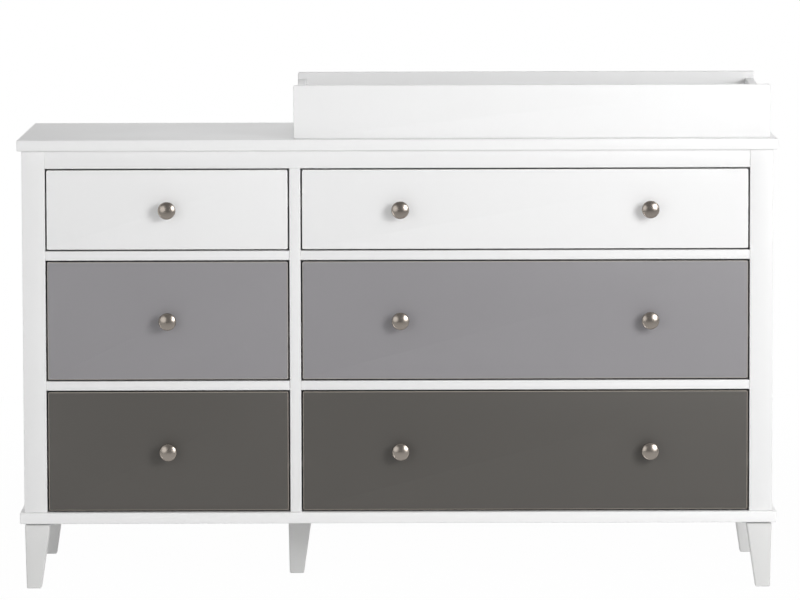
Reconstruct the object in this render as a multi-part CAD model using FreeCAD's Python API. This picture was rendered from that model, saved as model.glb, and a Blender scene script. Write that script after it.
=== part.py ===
import FreeCAD, Part
import os

# Changing dresser: a long low chest with six drawers in two bays, on five tapered legs,
# with an open changing tray fixed on the right of its top. Painted board and solid wood,
# drawers on steel roller slides, and one or two metal knobs on each drawer.
#
# Millimetres. +X runs along the length to the right, +Y to the back and +Z up.
# The origin is on the floor, in the middle of the whole length and depth, knobs included.

V = FreeCAD.Vector

# ---- Top and bottom boards ----
top_length = 1359.0
top_depth = 500.0
top_height = 809.0            # from the floor to the top of the top board
board_thick = 20.0
board_edge_ease = 1.5
end_overhang = 8.0            # past the posts and side panels
front_overhang = 8.0          # past the posts and the stile
back_overhang = 5.0           # past the back panel

# ---- Front frame ----
post_width = 41.0
post_thick = 20.0
stile_width = 20.0
left_bay_width = 437.0        # clear width between the left post and the stile
top_rail_height = 32.0
top_rail_thick = 18.0
rail_height = 16.5
rail_depth = 60.0
rail_setback = 1.0            # rails lie this far behind the faces of the posts
frame_edge_ease = 1.0
upper_opening = 148.0
middle_opening = 217.5        # the lower opening takes what height is left

# ---- Carcass behind the frame ----
side_thick = 15.0
back_panel_thick = 3.0

# ---- Legs ----
leg_height = 116.0
leg_top_size = 45.0
leg_foot_size = 26.0
leg_outer_lean = 2.3          # how far the outer faces lean in towards the foot
leg_inset = 8.3               # from the ends of the bottom board
leg_front_inset = 10.0
leg_back_inset = 12.0
leg_edge_ease = 1.5
leg_foot_chamfer = 1.5
centre_leg_setback = 195.0    # from the front of the bottom board
centre_leg_offset = 8.0       # of its left face from the stile's, to the left
plate_thick = 2.5
plate_size = 50.0
plate_inset = 4.0             # behind the leg's outer faces
plate_corner_cut = 4.0

# ---- Drawers ----
front_gap = 3.0
front_recess = 2.5            # fronts lie this far behind the faces of the posts
front_thick = 16.0
front_corner_round = 2.5
front_edge_ease = 1.2
box_thick = 12.0
box_back_room = 35.5          # from a drawer box to the back panel
box_rise = 14.0               # from an opening's floor to the box
box_drop = 24.0               # from the box to an opening's ceiling
bottom_thick = 3.0
groove_rise = 10.0            # from the lower edge of a side to its groove
groove_depth = 5.0
groove_clearance = 0.4

# ---- Roller slides ----
slide_room = 12.5             # between an opening's side and the drawer box
slide_rise = 88.0             # from an opening's floor to the middle of the slide
slide_back_inset = 26.5       # from the end of a slide to the back of the drawer box
slide_setback = 2.0           # behind the posts
slide_steel = 1.2
channel_height = 30.0
channel_width = 10.0
roller_radius = 10.5
roller_width = 8.0
roller_clearance = 0.3
roller_inset = 12.0           # from the end of its slide to a roller's axle
runner_reach = 8.3            # of the runner's shelf over the rollers
packer_height = 60.0

# ---- Knobs ----
knob_radius = 16.0
knob_reach = 27.0
knob_base_radius = 8.0
knob_base_thick = 1.5
knob_stem_radius = 5.5
knob_rim_thick = 4.0
knob_crown_slope = 3.0        # of the head's sloping shoulder, inwards and outwards
knob_pair_spacing = 447.0

# ---- Changing tray ----
tray_length = 853.0
tray_depth = 468.0
tray_height = 95.0
tray_thick = 15.0
tray_right_inset = 12.0       # from the right end of the top board
tray_end_inset = 2.0          # end boards behind the ends of the long boards
tray_end_drop = 13.0          # end boards below the tops of the long boards
tray_end_dip = 5.0            # of the shallow scoop in an end board's top
tray_dip_margin = 30.0        # from the long boards to the start of the scoop
tray_corner_round = 3.0
tie_thick = 2.0
tie_width = 20.0
tie_length = 60.0
tie_inset = 150.0             # from the ends of the tray
tie_corner_cut = 3.0
tie_on_top = 18.0             # how far a tie reaches down from the joint over the top board

# ---- Places worked out from the sizes ----
knob_past_front = knob_reach - front_overhang - front_recess
whole_depth = knob_past_front + top_depth + tie_thick
board_front = -whole_depth / 2 + knob_past_front
board_back = board_front + top_depth
board_end = top_length / 2

face = board_front + front_overhang
panel_front = face + post_thick
panel_back = board_back - back_overhang - back_panel_thick
side_outer = board_end - end_overhang
side_inner = side_outer - side_thick
opening_end = side_outer - post_width
stile_left = -opening_end + left_bay_width
stile_right = stile_left + stile_width

top_z = top_height
ceiling_z = top_z - board_thick
top_rail_z = ceiling_z - top_rail_height
upper_z = top_rail_z - upper_opening
upper_rail_z = upper_z - rail_height
middle_z = upper_rail_z - middle_opening
lower_rail_z = middle_z - rail_height
bottom_z = leg_height + plate_thick
floor_z = bottom_z + board_thick
lower_opening = lower_rail_z - floor_z

front_face = face + front_recess
front_back = front_face + front_thick
box_back = panel_back - box_back_room
slide_front = panel_front + slide_setback
slide_back = box_back - slide_back_inset

BAYS = [("left", -opening_end, stile_left, [0.0]),
        ("right", stile_right, opening_end, [-knob_pair_spacing / 2, knob_pair_spacing / 2])]
ROWS = [("upper", upper_z, upper_opening),
        ("middle", middle_z, middle_opening),
        ("lower", floor_z, lower_opening)]


# ---- Small tools ----
def save(name, *shapes):
    shape = shapes[0] if len(shapes) == 1 else Part.makeCompound(list(shapes))
    shape.exportStep("parts/" + name + ".step")


def block(x0, x1, y0, y1, z0, z1):
    """A box between two corners, given in any order."""
    low = V(min(x0, x1), min(y0, y1), min(z0, z1))
    return Part.makeBox(abs(x1 - x0), abs(y1 - y0), abs(z1 - z0), low)


def along(shape, axis):
    """The straight edges of a shape that run along X, Y or Z."""
    found = []
    for edge in shape.Edges:
        ends = [v.Point for v in edge.Vertexes]
        if len(ends) == 2:
            step = ends[1] - ends[0]
            if abs(abs(getattr(step, axis)) - step.Length) < 1e-6:
                found.append(edge)
    return found


def in_plane(edges, axis, place):
    """Those of the edges that lie in a plane square to an axis."""
    return [e for e in edges if all(abs(getattr(v.Point, axis) - place) < 1e-6 for v in e.Vertexes)]


def prism(points, y0, y1):
    """An outline in X and Z, pulled along Y."""
    wire = Part.makePolygon([V(x, y0, z) for x, z in points + points[:1]])
    return Part.Face(wire).extrude(V(0, y1 - y0, 0))


def tapered_block(low, high, z0, z1):
    """A solid with flat faces between two rectangles, each given as (x0, x1, y0, y1)."""
    low_x, low_y, high_x, high_y = sorted(low[:2]), sorted(low[2:]), sorted(high[:2]), sorted(high[2:])
    wedge = Part.makeWedge(low_x[0], z0, -low_y[1], -high_y[1], high_x[0],
                           low_x[1], z1, -low_y[0], -high_y[0], high_x[1])
    return wedge.rotate(V(0, 0, 0), V(1, 0, 0), 90)


# ---- Carcass ----
def long_board(z0):
    """A top or bottom board, eased along its upper and lower edges."""
    board = block(-board_end, board_end, board_front, board_back, z0, z0 + board_thick)
    return board.makeChamfer(board_edge_ease, along(board, "x") + along(board, "y"))


def make_boards():
    save("top_board", long_board(ceiling_z))
    save("bottom_board", long_board(bottom_z))


def make_panels():
    for name, x0, x1 in (("side_panel_left", -side_outer, -side_inner),
                         ("side_panel_right", side_inner, side_outer),
                         ("divider_panel", stile_left, stile_right)):
        save(name, block(x0, x1, panel_front, panel_back, floor_z, ceiling_z))
    save("back_panel", block(-side_outer, side_outer, panel_back, panel_back + back_panel_thick,
                             floor_z, ceiling_z))


def frame_piece(x0, x1, y0, y1, z0, z1, axis):
    """A piece of the front frame, with its two long front edges eased."""
    piece = block(x0, x1, y0, y1, z0, z1)
    return piece.makeChamfer(frame_edge_ease, in_plane(along(piece, axis), "y", y0))


def make_front_frame():
    save("post_left", frame_piece(-side_outer, -opening_end, face, panel_front,
                                  floor_z, ceiling_z, "z"))
    save("post_right", frame_piece(opening_end, side_outer, face, panel_front,
                                   floor_z, ceiling_z, "z"))
    save("centre_stile", frame_piece(stile_left, stile_right, face, panel_front,
                                     floor_z, top_rail_z, "z"))
    rail_face = face + rail_setback
    save("top_rail", frame_piece(-opening_end, opening_end, rail_face, rail_face + top_rail_thick,
                                 top_rail_z, ceiling_z, "x"))
    save("drawer_rails", *[frame_piece(x0, x1, rail_face, rail_face + rail_depth,
                                       z, z + rail_height, "x")
                           for _, x0, x1, _ in BAYS for z in (lower_rail_z, upper_rail_z)])


# ---- Legs: each is given by its outer corner and the way that its inner faces look ----
leg_end = board_end - leg_inset
leg_front = board_front + leg_front_inset
leg_back = board_back - leg_back_inset
LEGS = {"leg_front_left": (-leg_end, leg_front, 1, 1),
        "leg_front_right": (leg_end, leg_front, -1, 1),
        "leg_back_left": (-leg_end, leg_back, 1, -1),
        "leg_back_right": (leg_end, leg_back, -1, -1),
        "leg_centre": (stile_left - centre_leg_offset, board_front + centre_leg_setback, 1, 1)}


def leg_rectangle(leg, inset, size):
    x, y, inward_x, inward_y = leg
    return (x + inward_x * inset, x + inward_x * (inset + size),
            y + inward_y * inset, y + inward_y * (inset + size))


def make_leg(leg):
    body = tapered_block(leg_rectangle(leg, leg_outer_lean, leg_foot_size),
                         leg_rectangle(leg, 0.0, leg_top_size), 0.0, leg_height)
    standing = [e for e in body.Edges if abs(e.Vertexes[0].Point.z - e.Vertexes[-1].Point.z) > 1]
    body = body.makeChamfer(leg_edge_ease, standing)
    return body.makeChamfer(leg_foot_chamfer, in_plane(body.Edges, "z", 0.0))


def make_plate(leg):
    plate = block(*leg_rectangle(leg, plate_inset, plate_size), leg_height, bottom_z)
    return plate.makeChamfer(plate_corner_cut, along(plate, "z"))


def make_legs():
    for name, leg in LEGS.items():
        save(name, make_leg(leg))
    save("leg_plates", *[make_plate(leg) for leg in LEGS.values()])


# ---- Roller slides ----
# A slide is drawn from the side of an opening (wall) towards the drawer (inward is 1 or -1).
def channel(wall, inward, middle):
    """The fixed half: a rolled steel channel, open towards the drawer."""
    half = channel_height / 2
    inside = half - slide_steel
    profile = [(0, -half), (channel_width, -half), (channel_width, -inside),
               (slide_steel, -inside), (slide_steel, inside), (channel_width, inside),
               (channel_width, half), (0, half)]
    return prism([(wall + inward * s, middle + z) for s, z in profile], slide_front, slide_back)


def roller_middle(middle):
    """Rollers run just above the channel's lower flange."""
    return middle - channel_height / 2 + slide_steel + roller_clearance + roller_radius


def roller(x, towards, y, z):
    return Part.makeCylinder(roller_radius, roller_width, V(x, y, z), V(towards, 0, 0))


def channel_roller(wall, inward, middle):
    return roller(wall + inward * slide_steel, inward, slide_front + roller_inset,
                  roller_middle(middle))


def runner(wall, inward, middle):
    """The moving half: a steel angle on the drawer's side, whose shelf rides on the rollers."""
    outer = slide_room
    inner = slide_room - slide_steel
    shelf = roller_middle(middle) + roller_radius + roller_clearance - middle
    profile = [(outer, -channel_height / 2), (outer, shelf + slide_steel),
               (inner - runner_reach, shelf + slide_steel), (inner - runner_reach, shelf),
               (inner, shelf), (inner, -channel_height / 2)]
    return prism([(wall + inward * s, middle + z) for s, z in profile], slide_front, slide_back)


def runner_roller(wall, inward, middle):
    return roller(wall + inward * (slide_room - slide_steel), -inward, slide_back - roller_inset,
                  roller_middle(middle))


def slide_places():
    return [(wall, inward, z + slide_rise) for _, x0, x1, _ in BAYS
            for wall, inward in ((x0, 1), (x1, -1)) for _, z, _ in ROWS]


def make_fixed_slides():
    """Channels for every drawer, and packers that bring the outer ones level with the posts."""
    places = slide_places()
    save("slide_channels", *[channel(*p) for p in places])
    save("slide_rollers", *[channel_roller(*p) for p in places])
    save("slide_packers", *[block(side * side_inner, side * opening_end, panel_front, slide_back,
                                  z + slide_rise - packer_height / 2,
                                  z + slide_rise + packer_height / 2)
                            for side in (-1, 1) for _, z, _ in ROWS])


# ---- Drawers ----
def knob(x, z):
    """A turned knob: a foot, a slim stem and a flat round head with a sloping shoulder."""
    shoulder = knob_reach - knob_crown_slope
    under = shoulder - knob_rim_thick
    outline = [(0, 0), (knob_base_radius, 0), (knob_base_radius, knob_base_thick),
               (knob_stem_radius, knob_base_thick), (knob_stem_radius, under),
               (knob_radius, under), (knob_radius, shoulder),
               (knob_radius - knob_crown_slope, knob_reach), (0, knob_reach), (0, 0)]
    half = Part.Face(Part.makePolygon([V(r, -out, 0) for r, out in outline]))
    shape = half.revolve(V(0, 0, 0), V(0, 1, 0), 360)
    shape.translate(V(x, front_face, z))
    return shape


def make_drawer(name, x0, x1, knob_offsets, z0, height):
    middle_x = (x0 + x1) / 2
    middle_z_of_front = z0 + height / 2
    left, right = x0 + slide_room, x1 - slide_room
    low, high = z0 + box_rise, z0 + height - box_drop
    groove_z = low + groove_rise
    groove = block(left + box_thick - groove_depth, right - box_thick + groove_depth,
                   front_back - groove_depth, box_back,
                   groove_z, groove_z + bottom_thick + groove_clearance)

    front = block(x0 + front_gap, x1 - front_gap, front_face, front_back,
                  z0 + front_gap, z0 + height - front_gap)
    front = front.makeFillet(front_corner_round, along(front, "y"))
    front = front.makeChamfer(front_edge_ease, in_plane(front.Edges, "y", front_face))
    save(name + "_front", front.cut(groove))

    save(name + "_sides", block(left, left + box_thick, front_back, box_back, low, high).cut(groove),
         block(right - box_thick, right, front_back, box_back, low, high).cut(groove))
    save(name + "_back", block(left + box_thick, right - box_thick, box_back - box_thick, box_back,
                               groove_z + bottom_thick, high))
    play = groove_clearance / 2
    save(name + "_bottom", block(left + box_thick - groove_depth + play,
                                 right - box_thick + groove_depth - play,
                                 front_back - groove_depth + play, box_back,
                                 groove_z, groove_z + bottom_thick))

    slide_z = z0 + slide_rise
    sides = ((x0, 1), (x1, -1))
    save(name + "_runners", *[runner(wall, inward, slide_z) for wall, inward in sides],
         *[runner_roller(wall, inward, slide_z) for wall, inward in sides])

    knobs = [knob(middle_x + dx, middle_z_of_front) for dx in knob_offsets]
    save(name + ("_knob" if len(knobs) == 1 else "_knobs"), *knobs)


def make_drawers():
    for bay, x0, x1, knob_offsets in BAYS:
        for row, z0, height in ROWS:
            make_drawer("drawer_" + bay + "_" + row, x0, x1, knob_offsets, z0, height)


# ---- Changing tray ----
tray_right = board_end - tray_right_inset
tray_left = tray_right - tray_length
tray_front = board_back - tray_depth


def long_tray_board(y0):
    board = block(tray_left, tray_right, y0, y0 + tray_thick, top_z, top_z + tray_height)
    return board.makeFillet(tray_corner_round, along(board, "y"))


def tray_end(x0):
    """An end board whose top dips in one long shallow arc."""
    y0, y1 = tray_front + tray_thick, board_back - tray_thick
    high = top_z + tray_height - tray_end_drop
    start, end = y0 + tray_dip_margin, y1 - tray_dip_margin
    corners = [V(x0, start, high), V(x0, y0, high), V(x0, y0, top_z), V(x0, y1, top_z),
               V(x0, y1, high), V(x0, end, high)]
    edges = [Part.LineSegment(a, b).toShape() for a, b in zip(corners, corners[1:])]
    dip = V(x0, (start + end) / 2, high - tray_end_dip)
    edges.append(Part.Arc(corners[-1], dip, corners[0]).toShape())
    return Part.Face(Part.Wire(edges)).extrude(V(tray_thick, 0, 0))


def tie(x):
    """A flat steel plate at the back, over the joint between the tray and the top board."""
    plate = block(x - tie_width / 2, x + tie_width / 2, board_back, board_back + tie_thick,
                  top_z - tie_on_top, top_z - tie_on_top + tie_length)
    return plate.makeChamfer(tie_corner_cut, along(plate, "y"))


def make_tray():
    save("tray_front", long_tray_board(tray_front))
    save("tray_back", long_tray_board(board_back - tray_thick))
    save("tray_ends", tray_end(tray_left + tray_end_inset),
         tray_end(tray_right - tray_end_inset - tray_thick))
    save("tray_ties", tie(tray_left + tie_inset), tie(tray_right - tie_inset))


os.makedirs("parts", exist_ok=True)
make_boards()
make_panels()
make_front_frame()
make_legs()
make_fixed_slides()
make_drawers()
make_tray()
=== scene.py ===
"""Changing dresser: a long low chest with six drawers and an open changing tray on its top."""
import math

import bpy
from mathutils import Matrix, Vector


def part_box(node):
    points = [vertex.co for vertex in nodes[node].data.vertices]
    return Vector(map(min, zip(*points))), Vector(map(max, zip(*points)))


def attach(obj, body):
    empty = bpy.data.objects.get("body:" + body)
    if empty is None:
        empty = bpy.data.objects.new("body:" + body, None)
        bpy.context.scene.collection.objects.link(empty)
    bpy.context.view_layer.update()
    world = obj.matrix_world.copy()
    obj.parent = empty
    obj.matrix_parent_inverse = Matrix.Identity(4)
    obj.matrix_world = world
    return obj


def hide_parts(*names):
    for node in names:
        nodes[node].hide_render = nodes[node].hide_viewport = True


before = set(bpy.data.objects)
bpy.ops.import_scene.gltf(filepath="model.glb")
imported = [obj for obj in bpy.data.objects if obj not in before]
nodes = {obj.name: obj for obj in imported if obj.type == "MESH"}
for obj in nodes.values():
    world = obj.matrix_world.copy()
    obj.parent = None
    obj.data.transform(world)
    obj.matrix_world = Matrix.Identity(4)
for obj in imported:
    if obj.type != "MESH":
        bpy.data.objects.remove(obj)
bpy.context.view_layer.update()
mm = 0.001

# ---- Camera ----
# The photo was taken square to the front with a long lens, from well above the top board,
# about ten metres away, and the dresser fills its width.
camera_data = bpy.data.cameras.new("camera")
camera_data.lens = 246.57
camera_data.sensor_width = 36.0
camera_data.clip_end = 200.0
camera = bpy.data.objects.new("camera", camera_data)
bpy.context.scene.collection.objects.link(camera)
camera_from_board = 9759.5 * mm
camera_place = Vector((4.2 * mm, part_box("top_board")[0].y - camera_from_board, 1438.1 * mm))
camera_tilt = -0.093683
camera_roll = -0.002723
camera.matrix_world = (Matrix.Translation(camera_place)
                       @ Matrix.Rotation(math.pi / 2 + camera_tilt, 4, "X")
                       @ Matrix.Rotation(camera_roll, 4, "Z"))
bpy.context.scene.camera = camera


# ---- Painted boards of the carcass ----
# Medium-density fibreboard, cut, eased along its edges by a sanding block and sprayed with
# white satin lacquer. The film flows out almost level and leaves a faint orange peel.
def linear(code):
    """The linear colour of an sRGB hex value such as f2f2f0."""
    parts = [int(code[i:i + 2], 16) / 255 for i in (0, 2, 4)]
    return [p / 12.92 if p <= 0.04045 else ((p + 0.055) / 1.055) ** 2.4 for p in parts] + [1.0]


def node(material, kind, values=None, links=None, **settings):
    """Adds a shader node: settings are its options, values its inputs, links what feeds them."""
    added = material.node_tree.nodes.new(kind)
    for name, value in settings.items():
        setattr(added, name, value)
    for name, value in (values or {}).items():
        added.inputs[name].default_value = value
    for name, output in (links or {}).items():
        material.node_tree.links.new(output, added.inputs[name])
    return added


def new_material(name):
    material = bpy.data.materials.new(name)
    material.use_nodes = True
    material.node_tree.nodes.clear()
    return material


def show(material, shader):
    """Sends a finished shader to the surface."""
    node(material, "ShaderNodeOutputMaterial", links={"Surface": shader.outputs[0]})
    return material


def lacquer(name, colour, shade, roughness):
    """Sprayed lacquer: two near colours in soft clouds, an uneven sheen and an orange peel."""
    material = new_material(name)
    place = node(material, "ShaderNodeTexCoord").outputs["Object"]
    cloud_width, peel_width = 160 * mm, 2.2 * mm
    clouds = node(material, "ShaderNodeTexNoise", {"Scale": 1 / cloud_width, "Detail": 3.0},
                  {"Vector": place})
    tint = node(material, "ShaderNodeMix", {"A": linear(colour), "B": linear(shade)},
                {"Factor": clouds.outputs["Fac"]}, data_type="RGBA")
    sheen = node(material, "ShaderNodeMapRange",
                 {"To Min": roughness - 0.03, "To Max": roughness + 0.03},
                 {"Value": clouds.outputs["Fac"]})
    peel = node(material, "ShaderNodeTexNoise", {"Scale": 1 / peel_width, "Detail": 1.0},
                {"Vector": place})
    relief = node(material, "ShaderNodeBump", {"Strength": 0.25, "Distance": 0.03 * mm},
                  {"Height": peel.outputs["Fac"]})
    return show(material, node(material, "ShaderNodeBsdfPrincipled", {"IOR": 1.5},
                               {"Base Color": tint.outputs["Result"],
                                "Roughness": sheen.outputs["Result"],
                                "Normal": relief.outputs["Normal"]}))


# The same white in three near tones, as painted light: the top and the tray are painted a little
# lighter than the frame and the fronts, and the bottom board lighter still, for the light they
# catch.
white_lacquer = lacquer("white_satin_lacquer", "f1f1f1", "eeeeee", 0.42)
top_lacquer_painted_light = lacquer("white_satin_lacquer_painted_lighter_on_top_and_tray", "f5f5f5", "f2f2f2", 0.42)
bottom_lacquer_painted_light = lacquer("white_satin_lacquer_painted_lighter_on_bottom_board", "fafafa", "f7f7f7", 0.42)


def deselect():
    bpy.ops.object.select_all(action="DESELECT")


def finish_piece(piece, name, body, material, slot, *replaced):
    """Puts a modelled piece's place into its mesh, and gives it its finish and its body."""
    piece.name = piece.data.name = name
    deselect()
    piece.select_set(True)
    bpy.context.view_layer.objects.active = piece
    bpy.ops.object.transform_apply(location=True, rotation=True, scale=True)
    bpy.ops.object.shade_smooth_by_angle(angle=math.radians(35))
    if not piece.data.materials:
        piece.data.materials.append(material)
    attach(piece, body)
    if replaced:
        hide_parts(*replaced)
    return piece


def block(low, high):
    """A block between two corners, as a cube with its size applied."""
    deselect()
    bpy.ops.mesh.primitive_cube_add(size=1.0, location=(Vector(low) + Vector(high)) / 2)
    piece = bpy.context.object
    piece.scale = Vector(high) - Vector(low)
    bpy.ops.object.transform_apply(location=True, rotation=True, scale=True)
    return piece


def ease(piece, width, segments=3):
    """Rounds all of a piece's sharp edges by a small radius."""
    bevel = piece.modifiers.new("eased", "BEVEL")
    bevel.width = width
    bevel.segments = segments
    bevel.limit_method = "ANGLE"
    bevel.harden_normals = False
    bpy.context.view_layer.objects.active = piece
    bpy.ops.object.modifier_apply(modifier=bevel.name)
    return piece


def painted_board(name, edge, paint):
    """A white board in the place of its node, with all its edges eased."""
    piece = ease(block(*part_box(name)), edge)
    return finish_piece(piece, name + "_lacquered", "carcass", paint, "white_paint", name)


thick_board_edge, frame_edge, panel_edge = 1.8 * mm, 1.0 * mm, 0.5 * mm
# The top and the bottom board take the lighter copies of the white: painted light.
painted_board("top_board", thick_board_edge, top_lacquer_painted_light)
painted_board("bottom_board", thick_board_edge, bottom_lacquer_painted_light)
for name in ("post_left", "post_right", "centre_stile", "top_rail"):
    painted_board(name, frame_edge, white_lacquer)
for name in ("side_panel_left", "side_panel_right", "divider_panel"):
    painted_board(name, panel_edge, white_lacquer)

# Each drawer rail fills its bay from a post to the stile, level with the gap between two rows.
rail_low, rail_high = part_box("drawer_rails")
bays = {"left": (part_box("post_left")[1].x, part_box("centre_stile")[0].x),
        "right": (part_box("centre_stile")[1].x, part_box("post_right")[0].x)}
rail_height = 16.5 * mm
rail_places = {"lower": rail_low.z, "upper": rail_high.z - rail_height}
for bay, (x0, x1) in bays.items():
    for level, z0 in rail_places.items():
        rail = ease(block((x0, rail_low.y, z0), (x1, rail_high.y, z0 + rail_height)), frame_edge)
        finish_piece(rail, f"drawer_rail_{bay}_{level}", "carcass", white_lacquer, "white_paint",
                     "drawer_rails")

# ---- Drawer fronts ----
# Fibreboard fronts with rounded corners and an eased rim, inset in their openings: sprayed
# white in the upper row, mid grey in the middle one and a dark warm grey in the lower one.
# The eased rim is painted lighter, a painted highlight for the light it catches: a lighter line
# round each front.
# The second lacquer of each row is the lighter paint of the rim: a painted highlight.
front_finish = {
    "upper": (white_lacquer, lacquer("white_rim_painted_highlight", "fdfdfc", "fbfbfa", 0.4), "white_paint"),
    "middle": (lacquer("mid_grey_satin_lacquer", "949295", "8f8d90", 0.40),
               lacquer("mid_grey_rim_painted_highlight", "b3aea8", "ada8a2", 0.4), "mid_grey_paint"),
    "lower": (lacquer("dark_warm_grey_satin_lacquer", "55524e", "524f4b", 0.42),
              lacquer("dark_warm_grey_rim_painted_highlight", "a49c93", "9e968d", 0.4), "dark_grey_paint")}
drawers = [f"drawer_{bay}_{row}" for bay in bays for row in front_finish]
corner_radius = 2.5 * mm
rim_radius = 1.2 * mm


def select_edges(piece, wanted):
    """In edit mode: selects those edges of a piece whose two ends pass a test."""
    bpy.ops.object.mode_set(mode="OBJECT")
    points = piece.data.vertices
    for polygon in piece.data.polygons:
        polygon.select = False
    for point in points:
        point.select = False
    for edge in piece.data.edges:
        edge.select = wanted(points[edge.vertices[0]].co, points[edge.vertices[1]].co)
    bpy.context.tool_settings.mesh_select_mode = (False, True, False)
    bpy.ops.object.mode_set(mode="EDIT")


def rounded_panel(low, high, corner, rim, both_rims=False):
    """A panel that faces -Y, with round corners and a rounded rim in front, or on both sides."""
    piece = block(low, high)
    hair = 0.1 * mm
    select_edges(piece, lambda a, b: abs(a.y - b.y) > hair)
    bpy.ops.mesh.bevel(offset=corner, segments=6, affect="EDGES")
    select_edges(piece, lambda a, b: abs(a.y - b.y) < hair and (a.y < low[1] + hair or both_rims))
    bpy.ops.mesh.bevel(offset=rim, segments=3, affect="EDGES")
    bpy.ops.object.mode_set(mode="OBJECT")
    return piece


def paint_faces(piece, paint, rim):
    """Gives a panel its paint, and its rounded rim in front a lighter paint, a painted highlight."""
    piece.data.materials.append(paint)
    piece.data.materials.append(rim)
    for polygon in piece.data.polygons:
        polygon.material_index = 1 if -0.98 < polygon.normal.y < -0.05 else 0


for drawer in drawers:
    paint, rim, slot = front_finish[drawer.split("_")[2]]
    front = rounded_panel(*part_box(drawer + "_front"), corner_radius, rim_radius)
    paint_faces(front, paint, rim)
    finish_piece(front, drawer + "_front_lacquered", drawer, paint, slot, drawer + "_front")

# ---- Knobs ----
# Turned zinc knobs, plated in a dark satin nickel: a small foot, a slim stem, and a broad head
# whose shallow dome ends at a fine groove inside a soft rim. The plate blurs what it mirrors.
# The grain is drawn coarser than the real one, which is too fine to be seen.
nickel_cloud, nickel_grain_width = 6 * mm, 0.35 * mm
nickel = new_material("satin_nickel_plate")
nickel_place = node(nickel, "ShaderNodeTexCoord").outputs["Object"]
nickel_tone = node(nickel, "ShaderNodeTexNoise", {"Scale": 1 / nickel_cloud, "Detail": 2.0},
                   {"Vector": nickel_place})
nickel_sheen = node(nickel, "ShaderNodeMapRange", {"To Min": 0.2, "To Max": 0.27},
                    {"Value": nickel_tone.outputs["Fac"]})
nickel_grain = node(nickel, "ShaderNodeTexNoise",
                    {"Scale": 1 / nickel_grain_width, "Detail": 2.0}, {"Vector": nickel_place})
nickel_relief = node(nickel, "ShaderNodeBump", {"Strength": 0.08, "Distance": 0.01 * mm},
                     {"Height": nickel_grain.outputs["Fac"]})
show(nickel, node(nickel, "ShaderNodeBsdfPrincipled",
                  {"Base Color": linear("9d958d"), "Metallic": 1.0},
                  {"Roughness": nickel_sheen.outputs["Result"],
                   "Normal": nickel_relief.outputs["Normal"]}))

# The knob's outline from its foot to the top of its dome: radius and reach of each ring in mm.
knob_foot_radius = 8.0 * mm
knob_rings = [(8.0, 1.2), (7.6, 1.6), (5.9, 1.8), (5.2, 4.0), (5.2, 9.0), (6.4, 13.0),
              (10.5, 17.0), (14.6, 19.6), (15.9, 20.6), (16.0, 21.6), (15.7, 22.8), (14.9, 23.7),
              (14.3, 23.95), (14.1, 23.7), (13.8, 23.9), (12.0, 24.7), (9.0, 25.7), (5.0, 26.6),
              (1.5, 26.95)]


def turned_knob():
    """The mesh of a knob, turned ring by ring from its foot outwards, then smoothed."""
    deselect()
    bpy.ops.mesh.primitive_circle_add(vertices=32, radius=knob_foot_radius, fill_type="NGON",
                                      rotation=(math.pi / 2, 0, 0))
    piece = bpy.context.object
    bpy.ops.object.transform_apply(location=True, rotation=True, scale=True)
    bpy.ops.object.mode_set(mode="EDIT")
    bpy.ops.mesh.select_all(action="SELECT")
    radius, out = knob_foot_radius, 0.0
    for ring_radius, ring_out in knob_rings:
        bpy.ops.mesh.extrude_region_move(
            TRANSFORM_OT_translate={"value": (0, out - ring_out * mm, 0)})
        scale = ring_radius * mm / radius
        bpy.ops.transform.resize(value=(scale, 1, scale), center_override=(0, 0, 0))
        radius, out = ring_radius * mm, ring_out * mm
    bpy.ops.mesh.select_all(action="SELECT")
    bpy.ops.mesh.normals_make_consistent(inside=False)
    bpy.ops.object.mode_set(mode="OBJECT")
    smooth = piece.modifiers.new("smooth", "SUBSURF")
    smooth.levels = smooth.render_levels = 2
    bpy.ops.object.modifier_apply(modifier=smooth.name)
    mesh = piece.data
    bpy.data.objects.remove(piece)
    return mesh


knob_nodes = {drawer: drawer + ("_knob" if "left" in drawer else "_knobs") for drawer in drawers}


def knob_feet(drawer):
    """Where a drawer's knobs stand on its front, by the side of the front each one is on."""
    low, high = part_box(knob_nodes[drawer])
    radius = (high.z - low.z) / 2
    if knob_nodes[drawer].endswith("_knobs"):
        xs = {"_left": low.x + radius, "_right": high.x - radius}
    else:
        xs = {"": (low.x + high.x) / 2}
    return {side: Vector((x, high.y, low.z + radius)) for side, x in xs.items()}


knob_mesh = turned_knob()
for drawer in drawers:
    for side, foot in knob_feet(drawer).items():
        knob = bpy.data.objects.new("knob", knob_mesh.copy())
        knob.location = foot
        bpy.context.scene.collection.objects.link(knob)
        finish_piece(knob, f"{drawer}_knob_turned{side}", drawer, nickel, "brushed_nickel",
                     knob_nodes[drawer])

# ---- Legs ----
# Tapered solid-wood legs, planed, sanded and sprayed white: their inner faces draw in more
# than the outer ones towards a small foot with a worked edge. Their white is painted a little
# greyer than that of the boards: painted shade, for legs that stand under the bottom board.
leg_lacquer_painted_shade = lacquer("white_satin_lacquer_on_wood_painted_shade", "e5e5e4", "e0e0df", 0.45)
leg_top = 45.0 * mm
leg_foot = 26.0 * mm
leg_lean = 2.3 * mm
leg_edge = 2.4 * mm
# The way each leg draws in from its outer corner, along X and along Y.
leg_inward = {"leg_front_left": (1, 1), "leg_front_right": (-1, 1), "leg_back_left": (1, -1),
              "leg_back_right": (-1, -1), "leg_centre": (1, 1)}


def outer_corner(name):
    """The outer corner of a leg, at its top."""
    low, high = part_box(name)
    inward_x, inward_y = leg_inward[name]
    return Vector((low.x if inward_x > 0 else high.x, low.y if inward_y > 0 else high.y, high.z))


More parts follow.
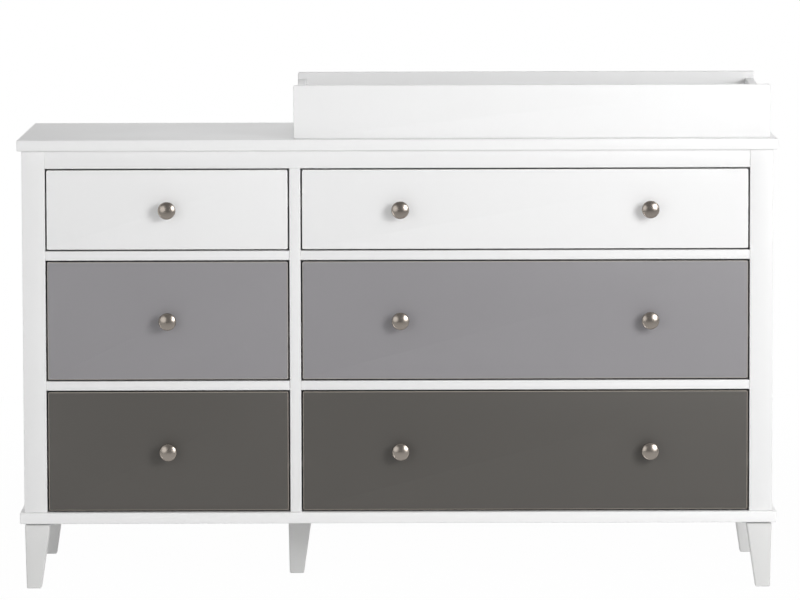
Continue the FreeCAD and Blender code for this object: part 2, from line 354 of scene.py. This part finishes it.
def tapered_leg(name):
    """A leg in the place of its node, drawn in towards its foot from its outer corner."""
    piece = block(*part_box(name))
    select_edges(piece, lambda a, b: max(a.z, b.z) < 1 * mm)
    foot = leg_foot / leg_top
    bpy.ops.transform.resize(value=(foot, foot, 1), center_override=outer_corner(name))
    inward_x, inward_y = leg_inward[name]
    bpy.ops.transform.translate(value=(inward_x * leg_lean, inward_y * leg_lean, 0))
    bpy.ops.object.mode_set(mode="OBJECT")
    return finish_piece(ease(piece, leg_edge, 4), name + "_lacquered", "carcass", leg_lacquer_painted_shade,
                        "leg_paint", name)


for name in leg_inward:
    tapered_leg(name)

# ---- Steel plates and ties ----
# A plate under the bottom board holds each leg, and two flat ties hold the tray at the back.
# Pressed from mild steel and zinc plated: a cool grey with a cloudy bloom and a dull shine.
zinc = new_material("zinc_plated_steel")
zinc_place = node(zinc, "ShaderNodeTexCoord").outputs["Object"]
bloom_width = 9 * mm
bloom = node(zinc, "ShaderNodeTexNoise", {"Scale": 1 / bloom_width, "Detail": 4.0},
             {"Vector": zinc_place})
zinc_tint = node(zinc, "ShaderNodeMix", {"A": linear("b9bcc0"), "B": linear("a3a6aa")},
                 {"Factor": bloom.outputs["Fac"]}, data_type="RGBA")
zinc_sheen = node(zinc, "ShaderNodeMapRange", {"To Min": 0.32, "To Max": 0.48},
                  {"Value": bloom.outputs["Fac"]})
show(zinc, node(zinc, "ShaderNodeBsdfPrincipled", {"Metallic": 1.0},
                {"Base Color": zinc_tint.outputs["Result"],
                 "Roughness": zinc_sheen.outputs["Result"]}))


def eased_copy(name, edge, segments=2):
    """A copy of a node's shape, with its loose triangles joined and its sharp edges rounded."""
    piece = bpy.data.objects.new(name + "_eased", nodes[name].data.copy())
    bpy.context.scene.collection.objects.link(piece)
    piece.data.materials.clear()
    deselect()
    piece.select_set(True)
    bpy.context.view_layer.objects.active = piece
    bpy.ops.object.mode_set(mode="EDIT")
    bpy.ops.mesh.select_all(action="SELECT")
    bpy.ops.mesh.remove_doubles(threshold=0.005 * mm)
    bpy.ops.mesh.dissolve_limited(angle_limit=math.radians(1))
    bpy.ops.object.mode_set(mode="OBJECT")
    return ease(piece, edge, segments)


def join(pieces):
    """Makes one piece of several like ones."""
    deselect()
    for piece in pieces:
        piece.select_set(True)
    bpy.context.view_layer.objects.active = pieces[0]
    if len(pieces) > 1:
        bpy.ops.object.join()
    return pieces[0]


def cut_away(piece, tool):
    """Cuts the shape of a tool out of a piece, and removes the tool."""
    cut = piece.modifiers.new("cut", "BOOLEAN")
    cut.object = tool
    cut.operation = "DIFFERENCE"
    bpy.context.view_layer.objects.active = piece
    bpy.ops.object.modifier_apply(modifier=cut.name)
    bpy.data.objects.remove(tool)


def recessed_head():
    """The mesh of a low round head with a cross recess, one unit wide from its axis and high."""
    deselect()
    bpy.ops.mesh.primitive_cylinder_add(vertices=20, radius=1.0, depth=1.0, location=(0, 0, 0.5))
    head = bpy.context.object
    crown_rounding, arm_size = 0.4, (1.1, 0.28, 0.9)
    select_edges(head, lambda a, b: min(a.z, b.z) > 0.9)
    bpy.ops.mesh.bevel(offset=crown_rounding, segments=3, affect="EDGES")
    bpy.ops.object.mode_set(mode="OBJECT")
    for turn in (0.0, math.pi / 2):
        bpy.ops.mesh.primitive_cube_add(size=1.0, location=(0, 0, 1.0), rotation=(0, 0, turn))
        arm = bpy.context.object
        arm.scale = arm_size
        cut_away(head, arm)
    mesh = head.data
    bpy.data.objects.remove(head)
    return mesh


head_mesh = recessed_head()


def screw_head(place, outward, radius, rise):
    """A copy of the screw head at its size, standing on a surface that faces outward."""
    turned = Vector(outward).to_track_quat("Z", "Y").to_matrix().to_4x4()
    head = bpy.data.objects.new("screw_head", head_mesh.copy())
    size = Matrix.Diagonal((radius, radius, rise, 1))
    head.data.transform(Matrix.Translation(place) @ turned @ size)
    bpy.context.scene.collection.objects.link(head)
    return head


screw_radius, screw_rise = 3.2 * mm, 1.6 * mm
beside_leg, screw_steps = leg_top + 4.6 * mm, (14 * mm, 38 * mm)
plate_screws = []
for name, (inward_x, inward_y) in leg_inward.items():
    for along in screw_steps:
        for step_x, step_y in ((beside_leg, along), (along, beside_leg)):
            place = outer_corner(name) + Vector((inward_x * step_x, inward_y * step_y, 0))
            plate_screws.append(screw_head(place, (0, 0, -1), screw_radius, screw_rise))
finish_piece(join(plate_screws), "leg_plate_screws", "carcass", zinc, "plate_steel")
plate_edge = 0.4 * mm
finish_piece(eased_copy("leg_plates", plate_edge), "leg_plates_pressed", "carcass", zinc,
             "plate_steel", "leg_plates")

# Each tie is held by one screw in the tray's back board and one in the top board. Their heads
# are countersunk, level with the plate, so that the dresser stands close to a wall.
ties = eased_copy("tray_ties", plate_edge)
tie_low, tie_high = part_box("tray_ties")
tie_half, screw_above_end, screw_below_end = 10.0 * mm, 9 * mm, 12 * mm
sink_radius, sink_mouth, sink_depth = 2.0 * mm, 4.6 * mm, 2.2 * mm
sink_y = (tie_low.y + tie_high.y) / 2 + 0.2 * mm
tie_screw_y = tie_low.y + 0.4 * mm
tie_screw_radius, tie_screw_rise = 3.7 * mm, 1.4 * mm
tie_screws = []
for x in (tie_low.x + tie_half, tie_high.x - tie_half):
    for z in (tie_low.z + screw_above_end, tie_high.z - screw_below_end):
        deselect()
        bpy.ops.mesh.primitive_cone_add(vertices=24, radius1=sink_radius, radius2=sink_mouth,
                                        depth=sink_depth, location=(x, sink_y, z),
                                        rotation=(-math.pi / 2, 0, 0))
        cut_away(ties, bpy.context.object)
        tie_screws.append(screw_head((x, tie_screw_y, z), (0, 1, 0),
                                     tie_screw_radius, tie_screw_rise))
finish_piece(ties, "tray_ties_pressed", "carcass", zinc, "plate_steel", "tray_ties")
finish_piece(join(tie_screws), "tray_tie_screws", "carcass", zinc, "plate_steel")

# ---- Drawer boxes ----
# Particle board wrapped in white foil, with a thin hardboard bottom let into a groove: white
# on its upper face, and bare brown fibre underneath. The same hardboard closes the back.
foil = lacquer("white_foil_on_particle_board", "f1f0ec", "edece7", 0.5)
# The fibres are drawn coarser than the real ones, which are too fine to be seen.
fibre_width, stain_width = 1.5 * mm, 25 * mm
hardboard = new_material("white_faced_hardboard")
fibre_place = node(hardboard, "ShaderNodeTexCoord").outputs["Object"]
fibres = node(hardboard, "ShaderNodeTexNoise", {"Scale": 1 / fibre_width, "Detail": 4.0},
              {"Vector": fibre_place})
stains = node(hardboard, "ShaderNodeTexNoise", {"Scale": 1 / stain_width, "Detail": 4.0},
              {"Vector": fibre_place})
mottle_sum = node(hardboard, "ShaderNodeMath", links={0: fibres.outputs["Fac"],
                                                      1: stains.outputs["Fac"]}, operation="ADD")
mottle = node(hardboard, "ShaderNodeMapRange", {"From Min": 0.55, "From Max": 1.45},
              {"Value": mottle_sum.outputs[0]})
brown = node(hardboard, "ShaderNodeMix", {"A": linear("ab8860"), "B": linear("8f6d4a")},
             {"Factor": mottle.outputs[0]}, data_type="RGBA")
facing = node(hardboard, "ShaderNodeNewGeometry").outputs["True Normal"]
axes = node(hardboard, "ShaderNodeSeparateXYZ", links={"Vector": facing})
towards_back = node(hardboard, "ShaderNodeMath", {1: 0.5}, {0: axes.outputs["Y"]},
                    operation="GREATER_THAN")
towards_floor = node(hardboard, "ShaderNodeMath", {1: -0.5}, {0: axes.outputs["Z"]},
                     operation="LESS_THAN")
rough_side = node(hardboard, "ShaderNodeMath", links={0: towards_back.outputs[0],
                                                      1: towards_floor.outputs[0]},
                  operation="MAXIMUM")
hardboard_tint = node(hardboard, "ShaderNodeMix", {"A": linear("efeeea")},
                      {"Factor": rough_side.outputs[0], "B": brown.outputs["Result"]},
                      data_type="RGBA")
hardboard_relief = node(hardboard, "ShaderNodeBump", {"Strength": 0.3, "Distance": 0.05 * mm},
                        {"Height": fibres.outputs["Fac"]})
show(hardboard, node(hardboard, "ShaderNodeBsdfPrincipled", {"Roughness": 0.6},
                     {"Base Color": hardboard_tint.outputs["Result"],
                      "Normal": hardboard_relief.outputs["Normal"]}))
back_panel_edge = 0.3 * mm
finish_piece(eased_copy("back_panel", back_panel_edge), "back_panel_hardboard", "carcass",
             hardboard, "hardboard", "back_panel")
panel_low, panel_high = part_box("back_panel")
nail_margin, nail_spacing = 7 * mm, 110 * mm
nail_radius, nail_rise = 2.2 * mm, 0.8 * mm
nail_ends = [Vector((x, panel_high.y, z))
             for x in (panel_low.x + nail_margin, panel_high.x - nail_margin)
             for z in (panel_low.z + nail_margin, panel_high.z - nail_margin)]
divider_x = sum(corner.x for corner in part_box("divider_panel")) / 2
divider_ends = [Vector((divider_x, panel_high.y, end.z)) for end in nail_ends[:2]]


def nail_row(start, end):
    """Nail heads at an even spacing from one place to another."""
    count = round((end - start).length / nail_spacing)
    return [screw_head(start.lerp(end, i / count), (0, 1, 0), nail_radius, nail_rise)
            for i in range(count + 1)]


nails = [nail for start, end in (nail_ends[:2], nail_ends[2:], divider_ends)
         for nail in nail_row(start, end)]
finish_piece(join(nails), "back_panel_nails", "carcass", zinc, "plate_steel")

drawer_board_edge, drawer_bottom_edge, packer_edge = 0.4 * mm, 0.2 * mm, 0.5 * mm
finish_piece(eased_copy("slide_packers", packer_edge), "slide_packers_foiled", "carcass", foil,
             "drawer_board", "slide_packers")
cam_radius, cam_rise, cam_from_front = 7.5 * mm, 0.5 * mm, 34 * mm
cam_levels = (0.35, 0.8)
knob_screw_radius, knob_screw_rise = 4.0 * mm, 2.4 * mm
for drawer in drawers:
    for part, edge, material, slot in (("_sides", drawer_board_edge, foil, "drawer_board"),
                                       ("_back", drawer_board_edge, foil, "drawer_board"),
                                       ("_bottom", drawer_bottom_edge, hardboard, "hardboard")):
        finish_piece(eased_copy(drawer + part, edge), drawer + part + "_eased", drawer, material,
                     slot, drawer + part)
    side_low, side_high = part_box(drawer + "_sides")
    inner_left, inner_right = (place.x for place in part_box(drawer + "_back"))
    side_height = side_high.z - side_low.z
    cams = [screw_head((x, side_low.y + cam_from_front, side_low.z + share * side_height),
                       (outward, 0, 0), cam_radius, cam_rise)
            for x, outward in ((inner_left, 1), (inner_right, -1)) for share in cam_levels]
    finish_piece(join(cams), drawer + "_cam_locks", drawer, zinc, "plate_steel")
    knob_screws = [screw_head((foot.x, side_low.y, foot.z), (0, 1, 0),
                              knob_screw_radius, knob_screw_rise)
                   for foot in knob_feet(drawer).values()]
    finish_piece(join(knob_screws), drawer + "_knob_screws", drawer, zinc, "plate_steel")

# ---- Roller slides ----
# Rolled steel channels and angles, coated in white epoxy powder, with white nylon rollers on
# riveted axles. The channels are screwed to the carcass and the angles to the drawer boxes.
epoxy = lacquer("white_epoxy_powder_coat", "ecebe6", "e7e6e0", 0.35)
nylon = lacquer("white_moulded_nylon", "f2f1ec", "eeede8", 0.3)
steel_edge, nylon_edge = 0.35 * mm, 0.8 * mm
rivet_radius, rivet_rise = 2.6 * mm, 0.9 * mm
longest_roller = 30 * mm
finish_piece(eased_copy("slide_channels", steel_edge), "slide_channels_rolled", "carcass", epoxy,
             "slide_steel", "slide_channels")
finish_piece(eased_copy("slide_rollers", nylon_edge, 3), "slide_rollers_moulded", "carcass",
             nylon, "roller_nylon", "slide_rollers")


def loose_parts(piece):
    """The separate shells of a piece, each as a piece of its own."""
    deselect()
    piece.select_set(True)
    bpy.context.view_layer.objects.active = piece
    bpy.ops.object.mode_set(mode="EDIT")
    bpy.ops.mesh.select_all(action="SELECT")
    bpy.ops.mesh.separate(type="LOOSE")
    bpy.ops.object.mode_set(mode="OBJECT")
    return list(bpy.context.selected_objects)


for drawer in drawers:
    shells = loose_parts(eased_copy(drawer + "_runners", steel_edge))
    rollers = [shell for shell in shells if shell.dimensions.y < longest_roller]
    angles = [shell for shell in shells if shell not in rollers]
    rivets = []
    box_middle = sum(corner.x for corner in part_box(drawer + "_back")) / 2
    for roller in rollers:
        corners = [Vector(corner) for corner in roller.bound_box]
        middle = sum(corners, Vector()) / len(corners)
        outward = -1 if middle.x < box_middle else 1
        edge_x = min(c.x for c in corners) if outward < 0 else max(c.x for c in corners)
        rivets.append(screw_head((edge_x, middle.y, middle.z), (outward, 0, 0),
                                 rivet_radius, rivet_rise))
    finish_piece(join(angles), drawer + "_runners_rolled", drawer, epoxy, "slide_steel",
                 drawer + "_runners")
    finish_piece(join(rollers), drawer + "_rollers_moulded", drawer, nylon, "roller_nylon",
                 drawer + "_runners")
    finish_piece(join(rivets), drawer + "_roller_rivets", drawer, zinc, "slide_steel")

# ---- Changing tray ----
# Four painted boards. The long ones have rounded corners and stand above the two end boards,
# whose tops dip gently in the middle.
tray_corner, tray_rim = 3 * mm, 1.2 * mm
# The tray's boards take the lighter copy of the white: painted light.
for name in ("tray_front", "tray_back"):
    board = rounded_panel(*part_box(name), tray_corner, tray_rim, both_rims=True)
    finish_piece(board, name + "_lacquered", "carcass", top_lacquer_painted_light, "white_paint", name)
finish_piece(eased_copy("tray_ends", tray_rim, 3), "tray_ends_lacquered", "carcass", top_lacquer_painted_light,
             "white_paint", "tray_ends")

# ---- Floor, lamps and world ----
# A pale studio floor that turns to plain white a few steps away, and dims in mirrored rays
# towards the camera, three soft lamps in front and one behind, and an even fill from all around.
deselect()
floor_radius = 40.0
bpy.ops.mesh.primitive_circle_add(vertices=64, radius=floor_radius, fill_type="NGON")
floor = bpy.context.object
floor.name = "floor"
floor_paint = new_material("pale_studio_floor")
floor_place = node(floor_paint, "ShaderNodeTexCoord").outputs["Object"]
distance = node(floor_paint, "ShaderNodeVectorMath", links={0: floor_place}, operation="LENGTH")
whiteness = node(floor_paint, "ShaderNodeMapRange",
                 {"From Min": 0.9, "From Max": 3.0, "To Min": 0.985, "To Max": 1.0},
                 {"Value": distance.outputs["Value"]}, interpolation_type="SMOOTHSTEP")
floor_path = node(floor_paint, "ShaderNodeLightPath")
mirrored = node(floor_paint, "ShaderNodeMath", links={0: floor_path.outputs["Is Glossy Ray"],
                                                      1: floor_path.outputs["Is Transmission Ray"]},
                operation="MAXIMUM")
seen = node(floor_paint, "ShaderNodeMath", links={0: floor_path.outputs["Is Camera Ray"],
                                                  1: mirrored.outputs[0]}, operation="MAXIMUM")
floor_axes = node(floor_paint, "ShaderNodeSeparateXYZ", links={"Vector": floor_place})
floor_tone = node(floor_paint, "ShaderNodeMapRange",
                  {"From Min": -4.0, "From Max": 0.5, "To Min": 0.25, "To Max": 1.0},
                  {"Value": floor_axes.outputs["Y"]})
seen_floor_tone = node(floor_paint, "ShaderNodeMath",
                       links={0: floor_path.outputs["Is Camera Ray"], 1: floor_tone.outputs[0]},
                       operation="MAXIMUM")
seen_white = node(floor_paint, "ShaderNodeMath",
                  links={0: seen.outputs[0], 1: whiteness.outputs[0]}, operation="MULTIPLY")
floor_matt = node(floor_paint, "ShaderNodeBsdfDiffuse", {"Color": linear("fafafa")})
floor_white = node(floor_paint, "ShaderNodeEmission", {"Color": (1, 1, 1, 1)},
                   {"Strength": seen_floor_tone.outputs[0]})
show(floor_paint, node(floor_paint, "ShaderNodeMixShader", None,
                       {0: seen_white.outputs[0], 1: floor_matt.outputs[0],
                        2: floor_white.outputs[0]}))
floor.data.materials.append(floor_paint)


def lamp(name, place, target, size, power):
    data = bpy.data.lights.new(name, "AREA")
    data.shape = "DISK"
    data.size = size
    data.energy = power
    lamp_object = bpy.data.objects.new(name, data)
    bpy.context.scene.collection.objects.link(lamp_object)
    aim = (Vector(target) - Vector(place)).to_track_quat("-Z", "Y")
    lamp_object.matrix_world = Matrix.Translation(place) @ aim.to_matrix().to_4x4()


lamp("key_lamp", (2.1, -3.0, 1.65), (0.1, 0, 0.5), 1.5, 51.0)
lamp("wide_lamp", (4.5, -6.5, 1.5), (0.1, 0, 0.4), 3.0, 66.0)
lamp("left_lamp", (-2.0, -3.2, 1.1), (-0.1, 0, 0.5), 2.2, 17.0)
lamp("back_lamp", (0.3, 4.5, 2.7), (0.1, 0, 0.6), 3.0, 15.0)

# Plain white stands behind the dresser. Its knobs also mirror the ceiling and the side where
# the camera stands, and there the studio is a dim grey.
world = bpy.data.worlds.new("studio")
world.use_nodes = True
bpy.context.scene.world = world
world.node_tree.nodes.clear()
world_path = node(world, "ShaderNodeLightPath")
world_mirrored = node(world, "ShaderNodeMath", links={0: world_path.outputs["Is Glossy Ray"],
                                                      1: world_path.outputs["Is Transmission Ray"]},
                      operation="MAXIMUM")
world_seen = node(world, "ShaderNodeMath", links={0: world_path.outputs["Is Camera Ray"],
                                                  1: world_mirrored.outputs[0]}, operation="MAXIMUM")
direction = node(world, "ShaderNodeTexCoord").outputs["Generated"]
towards_backdrop = node(world, "ShaderNodeVectorMath", {1: (0, 1, -0.6)}, {0: direction},
                        operation="DOT_PRODUCT")
studio_tone = node(world, "ShaderNodeMapRange",
                   {"From Min": -0.35, "From Max": 0.25, "To Min": 0.3, "To Max": 1.0},
                   {"Value": towards_backdrop.outputs["Value"]}, interpolation_type="SMOOTHSTEP")
seen_tone = node(world, "ShaderNodeMath", links={0: world_path.outputs["Is Camera Ray"],
                                                 1: studio_tone.outputs[0]}, operation="MAXIMUM")
fill_light = node(world, "ShaderNodeBackground", {"Color": (1, 1, 1, 1), "Strength": 0.37})
studio_wall = node(world, "ShaderNodeBackground", {"Color": (1, 1, 1, 1)},
                   {"Strength": seen_tone.outputs[0]})
world_mix = node(world, "ShaderNodeMixShader", None,
                 {0: world_seen.outputs[0], 1: fill_light.outputs[0], 2: studio_wall.outputs[0]})
node(world, "ShaderNodeOutputWorld", links={"Surface": world_mix.outputs[0]})

bpy.context.scene.view_settings.view_transform = "Standard"
